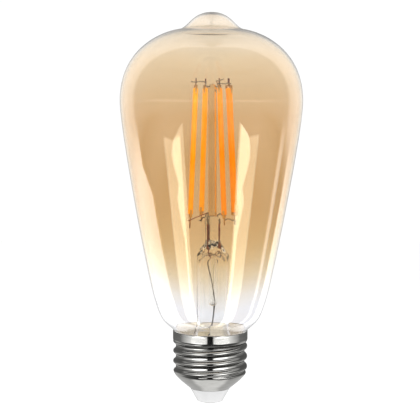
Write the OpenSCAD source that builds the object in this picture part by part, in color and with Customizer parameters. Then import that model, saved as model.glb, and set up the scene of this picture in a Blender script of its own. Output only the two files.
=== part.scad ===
// Smart light bulb: pear-shaped amber glass, four LED filament sticks round a glass rod, screw base with
// the driver and wireless boards hidden inside. Millimetres; +Z runs from the base tip up through the glass;
// the origin is on the axis at the lowest face of the centre contact.

/* [Glass] */
// whole length from the centre contact to the tip of the nub
bulb_h = 137.5; // [134.5:0.5:142]
// widest diameter of the glass
glass_d = 64; // [60:0.5:70]
// height of the widest ring
belly_z = 106.7; // [104:0.1:108]
// wall of the glass
glass_wall = 0.8; // [0.6:0.05:1.1]
// radius of the nub where it leaves the dome
nub_r = 11.3; // [10.5:0.1:12.2]
// radius where the straight side turns in towards the base
turn_r = 20; // [18.5:0.1:21]
// radius of the hole in the lip where the glass and the stem are sealed
lip_hole_r = 7.6; // [7.2:0.05:7.65]

/* [Screw base] */
// height of the collar rim
rim_z = 26; // [25:0.1:27]
// how much wider the plain collar is than the thread's crests
collar_over = 0.2; // [0:0.05:0.6]
// crest diameter of the thread
crest_d = 26.2; // [25.8:0.05:27.4]
// radial depth of the rolled thread
thread_depth = 0.95; // [0.6:0.05:1.05]
// rise of the thread in one turn
pitch = 3.629; // [3.5:0.001:3.7]
// sheet thickness of the shell
shell_wall = 0.3; // [0.25:0.01:0.35]
// radius of the opening at the lower end of the shell
shell_mouth_r = 7; // [6.6:0.05:7.4]
// diameter of the contact head
contact_d = 5.2; // [4.4:0.1:6]
// thickness of the contact head
contact_t = 0.7; // [0.5:0.05:0.9]

/* [Stem] */
// sideways shift of the stem at the collar rim
stem_shift = 0.9; // [0:0.05:1.2]
// lean of the stem back towards the axis, degrees
stem_lean = 0.37; // [0:0.01:0.6]
// outside diameter of the flare tube
flare_d = 11.3; // [10.8:0.1:12]
// wall of the flare tube
flare_wall = 0.9; // [0.7:0.05:1.1]
// height where the flare tube closes into the pinch
pinch_z = 57; // [56:0.1:58]
// height of the top of the pinch
pinch_top = 65; // [64.5:0.1:65.6]
// thickness of the pinch
pinch_t = 3.6; // [3.3:0.05:4]
// diameter of the glass rod
rod_d = 3; // [2.6:0.05:3.2]
// height of the top of the rod
rod_top = 111; // [109:0.1:112]
// how much wider the bead that holds the top wires is than the rod
bead_over = 0.4; // [0.2:0.05:0.8]
// outside diameter of the exhaust tube
exhaust_d = 3.1; // [2.6:0.05:3.3]
// distance of each lead-in wire from the stem axis
lead_r = 2.1; // [2.05:0.01:2.2]
// diameter of the lead-in wires
lead_d = 0.5; // [0.4:0.02:0.52]
// direction of the pair of lead-in wires, degrees
lead_turn = 40; // [35:1:45]

/* [Filaments] */
// radius of the filament ring at the lower ends
fil_low_r = 8.73; // [8.2:0.01:9.2]
// radius of the filament ring at the upper ends
fil_top_r = 6.3; // [5.9:0.01:6.8]
// direction of the first filament at its lower end, degrees
fil_turn = 27; // [24:0.5:30]
// how far each filament's upper end is turned round the rod, degrees
fil_twist = -4; // [-6:0.5:0]
// height of the lower end of the coating
fil_low_z = 67.2; // [66.8:0.1:67.8]
// length of the coated part
fil_l = 44.2; // [43:0.1:45]
// width of the coating
coat_w = 2.6; // [2.3:0.05:2.8]
// thickness of the coating
coat_t = 1.8; // [1.6:0.05:1.9]
// width of the carrier strip
strip_w = 1.2; // [1:0.05:1.3]
// thickness of the carrier strip
strip_t = 0.4; // [0.3:0.02:0.45]
// number of light-emitting chips on a strip
chips = 28; // [20:1:28]
// width of the end tabs
tab_w = 0.8; // [0.6:0.05:1]
// thickness of the end tabs
tab_t = 0.3; // [0.2:0.02:0.34]

/* [Electronics] */
// width of the driver board
board_w = 17.6; // [16.5:0.1:18]
// thickness of the driver board
board_t = 1; // [0.8:0.1:1.2]
// height of the lower edge of the driver board
board_z = 8.6; // [8.4:0.1:9]
// gap between the driver board and the lip of the glass
board_gap = 0.6; // [0.4:0.1:0.9]
// diameter of the smoothing capacitor
cap_d = 6.3; // [5:0.1:6.4]
// length of the smoothing capacitor
cap_l = 9.6; // [8.6:0.1:9.8]
// diameter of the coil core
coil_d = 6; // [5:0.1:6.2]
// length of the coil core
coil_l = 7.4; // [6:0.1:7.6]
// width of the wireless board
radio_w = 4.4; // [4:0.1:4.5]
// how far the wireless board rises above the rim
radio_rise = 1.2; // [0.6:0.1:1.3]

/* [Fits] */
// clearance between wires and the glass or pins around them
wire_clear = 0.02; // [0.01:0.005:0.03]
// clearance between parts that slide together
slide_clear = 0.05; // [0.03:0.01:0.06]

/* [Hidden] */
$fn = 72;

glass_col = [0.85, 0.66, 0.42, 0.35];
clear_col = [0.9, 0.93, 0.95, 0.35];
nickel_col = [0.78, 0.78, 0.76];
seal_col = [0.55, 0.25, 0.15];
wire_col = [0.45, 0.42, 0.38];
coat_col = [1, 0.6, 0.1];
strip_col = [0.9, 0.9, 0.88];
chip_col = [0.5, 0.6, 0.75];
cream_col = [0.84, 0.8, 0.66];
black_col = [0.08, 0.08, 0.09];
copper_col = [0.72, 0.4, 0.2];
white_col = [0.93, 0.93, 0.9];

// Small curve tools
function bez(a, b, c, d, n) = [for (i = [0 : n - 1]) let (t = i / n)
  pow(1 - t, 3) * a + 3 * pow(1 - t, 2) * t * b + 3 * (1 - t) * t * t * c + pow(t, 3) * d];
function unit(v) = v / norm(v);
function clamp(x) = min(1, max(0, x));
function ease(x) = let (t = clamp(x)) t * t * (3 - 2 * t);
// a smooth line through points: each span runs between two points with easy slopes at both
function span(p, i, t) = let (a = p[max(0, i - 1)], b = p[i], c = p[i + 1], d = p[min(len(p) - 1, i + 2)])
  0.5 * (2 * b + (c - a) * t + (2 * a - 5 * b + 4 * c - d) * t * t + (3 * b - a - 3 * c + d) * t * t * t);
function smooth(p, n) = [for (i = [0 : len(p) - 2], k = [0 : n - 1]) span(p, i, k / n), p[len(p) - 1]];

// Round wire along a smooth line through the points
module wire(points, d, n = 6, sides = 10) {
  line = smooth(points, n);
  m = len(line);
  dirs = [for (i = [0 : m - 1]) unit(line[min(m - 1, i + 1)] - line[max(0, i - 1)])];
  side0 = unit(cross(dirs[0], abs(dirs[0][2]) > 0.9 ? [1, 0, 0] : [0, 0, 1]));
  across = carry(dirs, side0, 0, m);
  rings = [for (i = [0 : m - 1], k = [0 : sides - 1])
    let (u = across[i], v = cross(dirs[i], u), a = 360 * k / sides)
    line[i] + d / 2 * (cos(a) * u + sin(a) * v)];
  walls = [for (i = [0 : m - 2], k = [0 : sides - 1]) let (k2 = (k + 1) % sides)
    [i * sides + k, (i + 1) * sides + k, (i + 1) * sides + k2, i * sides + k2]];
  ends = [[for (k = [0 : sides - 1]) k], [for (k = [sides - 1 : -1 : 0]) (m - 1) * sides + k]];
  polyhedron(rings, concat(walls, ends), convexity = 6);
}
function carry(dirs, u, i, m) = i == m ? [] :
  let (w = unit(u - (u * dirs[i]) * dirs[i])) concat([w], carry(dirs, w, i + 1, m));

// Places a shape that stands along +Z so that it runs from point a towards point b
module along(a, b, turn = 0) {
  v = b - a;
  translate(a) rotate([0, acos(v[2] / norm(v)), atan2(v[1], v[0])]) rotate([0, 0, turn]) children();
}

// Everything on the stem leans with it
module on_stem() {
  translate([stem_shift, 0, rim_z]) rotate([0, -stem_lean, 0]) translate([0, 0, -rim_z]) children();
}

// Glass envelope: outline from the sealed lip up the neck, the side, the belly, the dome and the nub
collar_d = crest_d + collar_over;
bead_d = rod_d + bead_over;
neck_r = crest_d / 2 - thread_depth - shell_wall - 0.15;
mouth_r = collar_d / 2 - shell_wall - 0.15;
lip_z = rim_z - 5.8;
board_top = lip_z - board_gap;
radio_top = rim_z + radio_rise;
gs = glass_d / 64;
nub_z = bulb_h - 5.9;
turn_z = rim_z + 12.2;
side_dir = unit([0.29, 1]);
dome_dir = unit([1, -0.15]);
throat = bez([neck_r, rim_z - 3.4], [neck_r, rim_z - 2.2], [mouth_r - 1, rim_z - 1.1], [mouth_r,
    rim_z - 0.1], 6);
outline = concat(
  [[neck_r, lip_z]], throat,
  bez([mouth_r, rim_z - 0.1], [mouth_r + 4, rim_z + 3.9], [turn_r, turn_z] - 10 * side_dir, [turn_r,
      turn_z], 14),
  bez([turn_r, turn_z], [turn_r, turn_z] + 9.7 * side_dir, [32 * gs, belly_z - 9.8], [32 * gs,
      belly_z], 16),
  bez([32 * gs, belly_z], [32 * gs, belly_z + 17.2], [nub_r, nub_z] + 7.5 * dome_dir, [nub_r, nub_z], 18),
  bez([nub_r, nub_z], [nub_r, nub_z] - 3.26 * dome_dir, [6.87, bulb_h], [0, bulb_h], 14),
  [[0, bulb_h]]);
function out_dir(p, i) = i == len(p) - 1 ? [0, 1] :
  let (t = unit(p[min(len(p) - 1, i + 1)] - p[max(0, i - 1)])) [t[1], -t[0]];
inner = [for (i = [len(outline) - 1 : -1 : 2]) outline[i] - glass_wall * out_dir(outline, i)];

module glass_envelope() color(glass_col) rotate_extrude()
  polygon(concat(outline, [for (p = inner) [max(0, p[0]), p[1]]],
    [[neck_r - glass_wall, lip_z + 1], [lip_hole_r, lip_z + 1], [lip_hole_r, lip_z]]));

// Stem: flared tube closed by a flat pinch that holds the rod and both lead-in wires
flare_r = flare_d / 2;
skirt_z = rim_z + 4;
skirt_r = neck_r - glass_wall - stem_shift - 0.1;
seat_z = pinch_z - 3.6;
lip_top = lip_z + 1 + 0.08;
half_pinch = 1.02;
function lead_at(s) = s * lead_r * [cos(lead_turn), sin(lead_turn)];

module stem_flare_tube() color(clear_col) on_stem() difference() {
  union() {
    rotate_extrude() polygon(concat(
      bez([skirt_r, lip_top], [skirt_r - 1.5, lip_top + 1.2], [flare_r + 0.1, skirt_z - 5], [flare_r,
          skirt_z], 10),
      bez([flare_r, skirt_z + 20], [flare_r, skirt_z + 25], [pinch_t / 2 + 1.2, pinch_z - 1.6],
        [pinch_t / 2 + 0.6, pinch_z + 1], 10),
      [[pinch_t / 2, pinch_z + 2.5], [0, pinch_z + 2.5], [0, seat_z], [exhaust_d / 2 + 1.6, seat_z],
       [flare_r - flare_wall, skirt_z + 19]],
      bez([flare_r - flare_wall, skirt_z], [flare_r + 0.1 - flare_wall, skirt_z - 5],
        [skirt_r - 2.8, lip_top + 1.2], [skirt_r - 1.3, lip_top], 10), [[skirt_r - 1.3, lip_top]]));
    rotate([0, 0, lead_turn]) translate([0, 0, pinch_z - 1]) linear_extrude(pinch_top - pinch_z + 1)
        pinch_shape();
    rotate_extrude() polygon([[0, pinch_top - 5.2], [2.35, pinch_top - 5.2], [2.62, pinch_top - 4.4],
      [2.4, pinch_top - 3.5], [2.66, pinch_top - 2.5], [2.66, pinch_top - 0.8], [2.1, pinch_top + 0.6],
      [rod_d / 2 + 0.3, pinch_top + 1.4], [0, pinch_top + 1.4]]);
  }
  translate([0, 0, pinch_top - 3]) cylinder(d = rod_d + 2 * wire_clear, h = 6);
  for (s = [-1, 1]) translate([lead_at(s)[0], lead_at(s)[1], seat_z - 1])
    cylinder(d = lead_d + 2 * wire_clear, h = pinch_top - seat_z + 3, $fn = 32);
  translate([0, 0, seat_z - 1]) cylinder(d = 1.4, h = 6.6, $fn = 32);
  translate([0, 0, seat_z + 4.8]) rotate([0, 90, lead_turn + 90]) cylinder(d = 1.2, h = 5, $fn = 32);
}

module pinch_shape() {
  square([2 * half_pinch, pinch_t], center = true);
  for (s = [-1, 1]) translate([s * half_pinch, 0]) circle(d = pinch_t);
}

// Exhaust tube: the gas went in through it, then its lower end was melted shut
exhaust_low = rim_z + 8.6;
module exhaust_tube() color(clear_col) on_stem() rotate_extrude($fn = 40) polygon(concat(
  [[0.75, seat_z - 0.01], [0.75, exhaust_low + 1.4], [0.35, exhaust_low + 0.8], [0, exhaust_low + 0.7]],
  [for (a = [-90 : 15 : 0]) [exhaust_d / 2 * cos(a), exhaust_low + 1.5 + 1.5 * sin(a)]],
  [[exhaust_d / 2, seat_z - 0.01]]));

// Glass rod with the bead that grips the top wires
module support_rod() color(clear_col) on_stem() difference() {
  union() {
    translate([0, 0, pinch_top - 2.98]) cylinder(d = rod_d, h = rod_top - pinch_top + 2.98, $fn = 48);
    translate([0, 0, rod_top]) sphere(d = bead_d, $fn = 48);
  }
  for (s = [-1, 1]) along([s * 0.55, 0, bead_z], [s, 0, bead_z]) cylinder(d = top_d + 6 * wire_clear,
      h = 4, $fn = 24);
}
top_d = 0.4;
bead_z = rod_top + 0.6;

// Filament places on the stem: 0 right-back, 1 left-back, 2 left-front, 3 right-front
function ring(r, a, z) = [r * cos(a), r * sin(a), z];
fil_slot = [2, 1, 3, 0];
function low(i) = ring(fil_low_r, fil_turn + 90 * fil_slot[i - 1], fil_low_z);
function up(i) = ring(fil_top_r, fil_turn + fil_twist + 90 * fil_slot[i - 1], fil_low_z + fil_l);
function on(i, s, y = 0) = let (v = unit(up(i) - low(i)), q = [sin(fil_turn + 90 * fil_slot[i - 1]),
  -cos(fil_turn + 90 * fil_slot[i - 1]), 0]) low(i) + v * s + q * y;
fil_len = norm(up(1) - low(1));
face_turn = [-27, 39, 43, 0];
chip_step = (fil_l - 3) / chips;
strip_over = 0.5;

module filament(i) on_stem() along(low(i), up(i), face_turn[i - 1] + 90) children();

module strip_bar() translate([-strip_w / 2, -strip_t / 2, -strip_over])
  cube([strip_w, strip_t, fil_len + 2 * strip_over]);
module chip_row() for (k = [0 : chips - 1])
  translate([-0.4, strip_t / 2, 1.5 + chip_step * (k + 0.2)]) cube([0.8, 0.2, chip_step * 0.6]);
module coating() difference() {
  linear_extrude(fil_len) {
    square([coat_w - coat_t, coat_t], center = true);
    for (s = [-1, 1]) translate([s * (coat_w - coat_t) / 2, 0]) circle(d = coat_t, $fn = 32);
  }
  strip_bar();
  chip_row();
}
// a tab caps the strip's end, its two legs grip the sides of the coating
module tab(l) {
  plate = strip_over + 0.3;
  translate([-coat_w / 2 - 0.27, -0.35, 0.01]) difference() {
    cube([coat_w + 0.54, 0.7, plate]);
    translate([coat_w / 2 + 0.27 - strip_w / 2 - 0.01, -1, -1]) cube([strip_w + 0.02, 3, strip_over + 1]);
  }
  for (s = [-1, 1]) translate([s * (coat_w / 2 + 0.15) - 0.12, -0.35, -2]) cube([0.24, 0.7, 2 + plate]);
  translate([-tab_w / 2, -tab_t / 2, plate - 0.1]) cube([tab_w, tab_t, l - plate + 0.1]);
}
top_tab_l = 3.2;
low_tab_l = [4.6, 3.4, 3.2, 4.2];

module filament_strip(i) color(strip_col) filament(i) strip_bar();
module filament_chips(i) color(chip_col) filament(i) chip_row();
module filament_coating(i) color(coat_col) filament(i) coating();
module filament_top_tab(i) color(wire_col) filament(i) translate([0, 0, fil_len]) tab(top_tab_l);
module filament_low_tab(i) color(wire_col) filament(i) mirror([0, 0, 1]) tab(low_tab_l[i - 1]);

// Top wires: each pair of filaments is joined across the rod
function seen(i) = let (a = fil_turn + 90 * fil_slot[i - 1] + face_turn[i - 1] + 90)
  (tab_w * abs(sin(a)) + tab_t * abs(cos(a))) / 2;
function top_weld(i, dz = 0) = on(i, fil_len + 1.9 + dz) - [0, seen(i) + top_d / 2 + 0.05, 0];
module left_top_wire() color(wire_col) on_stem() wire([top_weld(1) - [1.7, 0.1, -0.1], top_weld(1)
    - [0.8, 0.06, 0],
  top_weld(1) + [0.2, 0, 0], (top_weld(1) + top_weld(2)) / 2 + [0, -0.5, 0.2], top_weld(2) + [-0.5,
      -0.7, 0.1],
  top_weld(2) + [0.2, -0.04, 0.1], [-2.3, 2.2, bead_z + 0.8], [-1.9, 0.4, bead_z + 0.2], [-1.3, 0, bead_z],
  [-0.6, 0, bead_z]], top_d);
module right_top_wire() color(wire_col) on_stem() wire([[0.6, 0, bead_z], [1.3, 0, bead_z], [1.95,
    -0.4, bead_z + 0.2],
  top_weld(3, 0.3) + [-0.9, 1.5, -0.2], top_weld(3, 0.3) + [-0.9, -0.05, 0], top_weld(3, 0.3) + [0.1,
      -0.02, 0.2],
  top_weld(3, 0.3) + [1.6, -0.1, 0.7]], top_d);
module top_link_wire() color(wire_col) on_stem() wire([top_weld(3, -0.6) - [0.9, 0.02, 0], top_weld(3,
    -0.6),
  top_weld(3, -0.6) + [0.9, 0.1, 0], top_weld(3, -0.6) + [2.2, 2.6, -0.1], top_weld(4, -0.4) - [0.9,
      1.2, 0],
  top_weld(4, -0.4) - [0.2, 0.05, 0], top_weld(4, -0.4) + [0.9, -0.05, -0.2]], top_d);

// Lead-in wires: nickel inside the glass, copper-clad seal wire in the pinch, thin lead to the driver board
left_xy = lead_at(-1);
right_xy = lead_at(1);
seal_low = seat_z - 0.9;
seal_top = pinch_top - 1.2;
inner_top = pinch_top + 2.9;
outer_d = 0.3;
function low_weld(i, s, d) = on(i, -s) - [0, seen(i) + d / 2 + 0.03, 0];

module left_inner_lead() color(nickel_col) on_stem()
  translate([left_xy[0], left_xy[1], seal_top]) cylinder(d = lead_d, h = inner_top - seal_top, $fn = 24);
module right_inner_lead() color(nickel_col) on_stem() wire([[right_xy[0], right_xy[1], seal_top],
  [right_xy[0], right_xy[1], pinch_top + 0.5], [right_xy[0], right_xy[1], pinch_top + 1.2],
  [right_xy[0] + 0.6, right_xy[1] - 1.3, pinch_top + 2.1],
  [3.1, -3, pinch_top + 2.3], [4, -6.2, pinch_top + 1.2], on(3, 1.9 - 3.5) + [0.1, seen(3) + 0.42, 0],
  [5.3, -5, pinch_top + 0.9], [6.9, 0.4, pinch_top - 0.1], low_weld(4, 2.6, 0.46) - [0.3, 0.2, 0],
  low_weld(4, 2.8, 0.46) + [0.6, -0.04, -0.2]], 0.46, 5, 12);
module seal_wire(s) color(seal_col) on_stem()
  translate([lead_at(s)[0], lead_at(s)[1], seal_low]) cylinder(d = lead_d,
      h = seal_top - seal_low - 0.01, $fn = 24);
module left_seal_wire() seal_wire(-1);
module right_seal_wire() seal_wire(1);
module left_outer_lead() color(wire_col) on_stem() wire([[left_xy[0], left_xy[1], seal_low - 0.03],
  [left_xy[0], left_xy[1], seal_low - 0.6], [left_xy[0] - 0.1, left_xy[1] - 0.6, 51], [-1.5, -2.6, 48.8],
  [-0.7, -2.8, 45.4], [0, -2.8, 41.8], [0.5, -2.8, 38.2], [0.7, -2.8, 35.8], [0.4, -2.6, 33], [0, -2.4,
      29.6],
  [-0.6, -2.2, 26], lead_pad[0]], outer_d, 3, 8);
module right_outer_lead() color(wire_col) on_stem() wire([[right_xy[0], right_xy[1], seal_low - 0.03],
  [right_xy[0], right_xy[1], seal_low - 0.6], [right_xy[0], right_xy[1] + 0.6, 50.6], [1, 2.8, 47.5],
      [0.5, 2.9, 40],
  [0.3, 2.8, 33], [-0.4, 2.6, 27.4], [-2.2, 2.3, 24], lead_pad[1]], outer_d, 3, 8);
// short wires from the left lead to the two left filaments
module low_wire_1() color(seal_col) on_stem() wire([[left_xy[0] - lead_d / 2 - 0.17, left_xy[1],
    inner_top - 0.5],
  [left_xy[0] - 1.2, left_xy[1] - 0.4, inner_top - 0.6], low_weld(1, 1.3, 0.28) + [1.6, 0.2, 0.3],
  low_weld(1, 1.7, 0.28) + [0.2, -0.03, 0], low_weld(1, 2, 0.28) - [0.8, 0.1, 0]], 0.28, 5, 8);
module low_wire_2() color(wire_col) on_stem() wire([[left_xy[0] - 0.1, left_xy[1] + lead_d / 2 + 0.22,
    inner_top - 0.6],
  [left_xy[0] - 0.5, left_xy[1] + 1.6, inner_top - 0.5], [-2.7, 4, inner_top - 2.2],
  low_weld(2, 2.4, 0.34) + [0.5, -0.9, 0.5], low_weld(2, 2.8, 0.34) + [0.1, -0.05, 0],
  low_weld(2, 3, 0.34) - [0.8, 0.05, 0]], 0.34, 5, 8);

// Screw shell: plain collar, rolled thread that fades out at both ends, rounded lower cone
crest_r = crest_d / 2;
collar_r = collar_d / 2;
thread_low = 9;
thread_top = rim_z - 3.1;
segs = 48;
rows = 36;
start_z = 16.75;
cone_end = [crest_r - 1.9, thread_low];
mouth_z = 5.25;
// height at which the crests start to curve in to the cone
turn_in = 12.3;
function crest_at(z) = z > turn_in ? crest_r
  : crest_r - (crest_r - cone_end[0]) * pow((turn_in - z) / (turn_in - thread_low), 2);
function fade(z) = ease((z - 10.6) / 1.6) * (1 - ease((z - rim_z + 5) / 1.7));
function skin(z, a) = crest_at(z) - thread_depth * fade(z) * (0.5 - 0.5 * cos(360 * ((z - start_z)
    / pitch - a / 360)));
// the thread's two edges slip inside the sheet of the collar and of the cone
function tuck(k) = (k == 0 || k == rows) ? 0.07 : 0.02;
function sheet(k, j, inside) = let (z = thread_low + (thread_top - thread_low) * k / rows,
    a = 360 * j / segs,
  r = skin(z, a) + (k > rows - 3 ? collar_r - crest_r : 0) - (inside ? shell_wall - tuck(k) : tuck(k)))
  [r * cos(a), r * sin(a), z];

module screw_shell() color(nickel_col) {
  grid = [for (k = [0 : rows], j = [0 : segs - 1]) sheet(k, j, false)];
  back = [for (k = [0 : rows], j = [0 : segs - 1]) sheet(k, j, true)];
  n = len(grid);
  skins = [for (k = [0 : rows - 1], j = [0 : segs - 1], h = [0, 1]) let (a = k * segs + j,
      b = k * segs + (j + 1) % segs)
    h == 0 ? [a, a + segs, b] : [b, a + segs, b + segs]];
  backs = [for (f = skins) [f[2] + n, f[1] + n, f[0] + n]];
  rims = [for (j = [0 : segs - 1], h = [0, 1], e = [0, rows]) let (a = e * segs + j,
      b = e * segs + (j + 1) % segs,
    t = h == 0 ? [a, b, a + n] : [b, b + n, a + n]) e == 0 ? t : [t[2], t[1], t[0]]];
  union() {
    polyhedron(concat(grid, back), concat(skins, backs, rims), convexity = 8);
    rotate_extrude() polygon([[collar_r - shell_wall, thread_top - 0.15], [collar_r, thread_top - 0.15],
      [collar_r, rim_z], [collar_r - shell_wall, rim_z]]);
    rotate_extrude() polygon(concat(cone_line(0), [for (i = [7 : -1 : 0]) cone_line(shell_wall)[i]]));
  }
}
function cone_line(w) = [for (i = [0 : 7]) let (t = i / 7, c = bez3([shell_mouth_r, mouth_z],
    [shell_mouth_r + 1.3, mouth_z + 1.2],
  [cone_end[0] - 1.2, 7.6], [cone_end[0], thread_low + 0.15], t)) c - w * unit([0.75, -0.66])];
function bez3(a, b, c, d, t) = pow(1 - t, 3) * a + 3 * pow(1 - t, 2) * t * b + 3 * (1 - t)
    * t * t * c + pow(t, 3) * d;

// Base insulator and centre contact
plug_r = shell_mouth_r - 0.55;
module base_insulator() color(white_col) difference() {
  rotate_extrude() polygon(concat([[0, contact_t - 0.15], [3.8, contact_t - 0.15], [4.6, contact_t + 0.1]],
    bez([4.85, 1.2], [5.35, 2.3], [6.05, 3.5], [shell_mouth_r - 0.05, mouth_z - 0.15], 6),
    [[shell_mouth_r - 0.1, mouth_z - 0.05], [plug_r, mouth_z - 0.05], [plug_r, 6.4], [0, 6.4]]));
  translate([0, 0, -1]) cylinder(d = contact_d + 2 * slide_clear, h = 1 + contact_t + 0.01);
  cylinder(d = 2.4 + 2 * slide_clear, h = 10);
  translate([0, 0, 5.2]) cylinder(r = 4.6, h = 3);
}
module centre_contact() color(nickel_col) rotate_extrude($fn = 48) polygon([[0, 0],
    [contact_d / 2 - 0.5, 0],
  [contact_d / 2 - 0.15, 0.12], [contact_d / 2, 0.4], [contact_d / 2, contact_t], [1.2, contact_t],
  [1.2, 5.6], [0.9, 5.9], [0.45, 5.9], [0.45, 4], [0, 4]]);

// Cement ring between the neck of the glass and the collar
module basing_cement() color([0.86, 0.8, 0.66]) rotate_extrude() polygon(concat(
  [for (i = [1 : 5]) throat[i] + [0.03, 0]], [[mouth_r - 0.1, rim_z - 0.24],
      [collar_r - shell_wall - 0.02, rim_z - 0.2],
  [collar_r - shell_wall - 0.02, throat[1][1]]]));

// Driver board: upright across the base, a narrow neck reaches up into the flare
board_y = 0.4;
neck_w = 4.2;
module driver_board() color(cream_col) difference() {
  translate([0, board_y, 0]) rotate([90, 0, 0]) linear_extrude(board_t) difference() {
    union() {
      translate([-board_w / 2, board_z]) square([board_w, board_top - board_z]);
      translate([-4.4, board_top - 1]) square([neck_w, rim_z - 0.4 - board_top + 1]);
    }
    for (p = pin_holes) translate(p) circle(d = 0.7, $fn = 24);
    for (s = [-1, 1]) translate([s * (board_w / 2 + 0.3), board_z - 0.3]) circle(r = 1.5, $fn = 32);
  }
}
cap_x = -cap_d / 2 - 0.4;
coil_x = 4.1;
res_x = -0.8;
pin_holes = [[cap_x - 1.2, 18.7], [cap_x + 1.2, 18.7], [coil_x, 9.7], [coil_x, 18.6], [-7.2, 9.9],
    [-4.6, 9.9],
  [res_x, 15.2]];
front_y = board_y - board_t;
lead_pad = [[-1.1 - stem_shift, front_y - 0.3, 24.4], [-3.4 - stem_shift, board_y + 0.3, 23]];

// Wireless board stands in front of the driver board on four pins, its antenna end inside the flare
radio_x = -0.9 + stem_shift;
radio_y = -2.6;
radio_low = 11.4;
module wireless_board() color([0.88, 0.87, 0.8]) difference() {
  translate([radio_x, radio_y - 0.8, radio_low]) cube([radio_w, 0.8, radio_top - radio_low]);
  for (z = radio_pins) translate([radio_x + 0.8, radio_y + 1, z]) rotate([90, 0, 0]) cylinder(d = 0.6,
      h = 3, $fn = 24);
}
radio_pins = [12.4, 13.9, 15.4, 16.9];
module wireless_shield() color(nickel_col) translate([radio_x + 0.3, radio_y - 2.2, 13]) difference() {
  cube([radio_w - 0.6, 1.39, 6.4]);
  translate([0.15, 0.15, 0.15]) cube([radio_w - 0.9, 2, 6.1]);
}
module board_pins() color([0.8, 0.68, 0.3]) for (z = radio_pins)
  translate([radio_x + 0.8, front_y - 0.01, z]) rotate([90, 0, 0]) cylinder(d = 0.5,
      h = front_y - radio_y + 1.0, $fn = 24);

// Parts on the boards
module chip_package(w, l, h, legs) {
  translate([-w / 2, -h - 0.1, -l / 2]) cube([w, h, l]);
  for (s = [-1, 1], k = [0 : legs - 1]) let (z = (k - (legs - 1) / 2) * l / legs)
    translate([s * (w / 2 + 0.35) - 0.4, -0.55, z - 0.2]) cube([0.8, 0.54, 0.4]);
}
module bridge_rectifier() color(black_col) translate([-4.6, board_y, 15.4]) rotate([0, 0, 180])
  chip_package(4, 4.6, 1.5, 2);
module driver_chip() color(black_col) translate([7, front_y, 11]) chip_package(2, 3.4, 1.2, 4);
// a bent lead: up or down from the part, then straight through its hole in the board
module leg(x, y, z0, z1) {
  translate([x, y, min(z0, z1)]) cylinder(d = 0.5, h = abs(z1 - z0), $fn = 20);
  translate([x, y, z1]) sphere(d = 0.5, $fn = 20);
  far = y > 0 ? front_y - 0.12 : board_y + 0.12;
  translate([x, max(y, far), z1]) rotate([90, 0, 0]) cylinder(d = 0.5, h = abs(y - far), $fn = 20);
}
coil_at = [coil_x, board_y + coil_d / 2 + 0.3, 14.2];
module coil_core() color([0.2, 0.2, 0.21]) translate(coil_at - [0, 0, coil_l / 2]) rotate_extrude($fn = 48)
  polygon([[0, 0], [coil_d / 2, 0], [coil_d / 2, 1], [1.4, 1], [1.4, coil_l - 1], [coil_d / 2, coil_l - 1],
    [coil_d / 2, coil_l], [0, coil_l]]);
module coil_winding() color(copper_col) translate(coil_at) difference() {
  cylinder(d = coil_d - 0.7, h = coil_l - 2.04, center = true, $fn = 48);
  cylinder(r = 1.42, h = coil_l, center = true, $fn = 48);
}
module coil_leads() color(copper_col) {
  leg(coil_x, coil_at[1] - 1.4, coil_at[2] - coil_l / 2 - 0.01, 9.7);
  leg(coil_x, coil_at[1] - 1.4, coil_at[2] + coil_l / 2 + 0.01, 18.6);
}
cap_at = [cap_x, front_y - cap_d / 2 - 0.15, 8.2];
module smoothing_capacitor() color(black_col) {
  translate(cap_at) rotate_extrude($fn = 48) polygon([[0, 0], [cap_d / 2 - 0.3, 0], [cap_d / 2, 0.3],
    [cap_d / 2, cap_l - 1.6], [cap_d / 2 - 0.25, cap_l - 1.3], [cap_d / 2, cap_l - 1], [cap_d / 2,
        cap_l - 0.25],
    [cap_d / 2 - 0.25, cap_l], [0, cap_l]]);
}
module capacitor_leads() color(nickel_col) for (s = [-1.2, 1.2])
  leg(cap_x + s, cap_at[1] + 0.6, cap_at[2] + cap_l + 0.01, 18.7);
module film_capacitor() color([0.75, 0.3, 0.12]) {
  translate([-7.9, board_y + 0.05, 9]) cube([4.4, 2.6, 3]);
  for (x = [-7.2, -4.6]) translate([x, board_y + 0.1, 9.9]) rotate([90, 0, 0]) cylinder(d = 0.5,
      h = board_t + 0.15, $fn = 20);
}
module chip_parts() color([0.75, 0.72, 0.66]) {
  for (p = [[0.6, 18], [-1, 18], [-0.2, 16.6]]) translate([p[0], board_y + 0.01, p[1]]) cube([1.2, 0.5,
      0.8]);
  for (p = [[6.6, 15.2], [6.6, 17]]) translate([p[0], front_y - 0.51, p[1]]) cube([1.6, 0.5, 0.9]);
}

// Fuse resistor between the centre contact and the board, inside its heat-proof sleeve
res_at = [res_x, board_y + 4.6, 8.2];
module fuse_resistor() color([0.4, 0.55, 0.6]) {
  translate(res_at) rotate_extrude($fn = 40) polygon(concat(
    [[0, 0]], [for (a = [0 : 30 : 60]) [1.2 * sin(a) + 0.1, 0.5 - 0.5 * cos(a)]], [[1.3, 0.9], [1.3,
        1.4], [1.15, 1.8],
    [1.15, 4.2], [1.3, 4.6], [1.3, 5.1]], [for (a = [60 : -30 : 0]) [1.2 * sin(a) + 0.1,
        5.5 + 0.5 * cos(a)]], [[0, 6]]));
}
module resistor_lead() color(nickel_col) leg(res_x, res_at[1], res_at[2] + 6.02, 15.2);
module resistor_sleeve() color([0.5, 0.08, 0.08]) translate(res_at - [0, 0, 0.3]) difference() {
  cylinder(r = 1.65, h = 6.6, $fn = 40);
  translate([0, 0, -1]) cylinder(r = 1.35, h = 9, $fn = 40);
}
module live_wire() color([0.6, 0.1, 0.1]) wire([[0, 0, 4.1], [0, 0, 5.6], [0, 0.9, 7], [res_at[0],
    res_at[1] - 1.4, 7.3],
  [res_at[0], res_at[1] - 0.1, 7.7], [res_at[0], res_at[1], 8.12]], 0.6, 5, 8);
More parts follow.
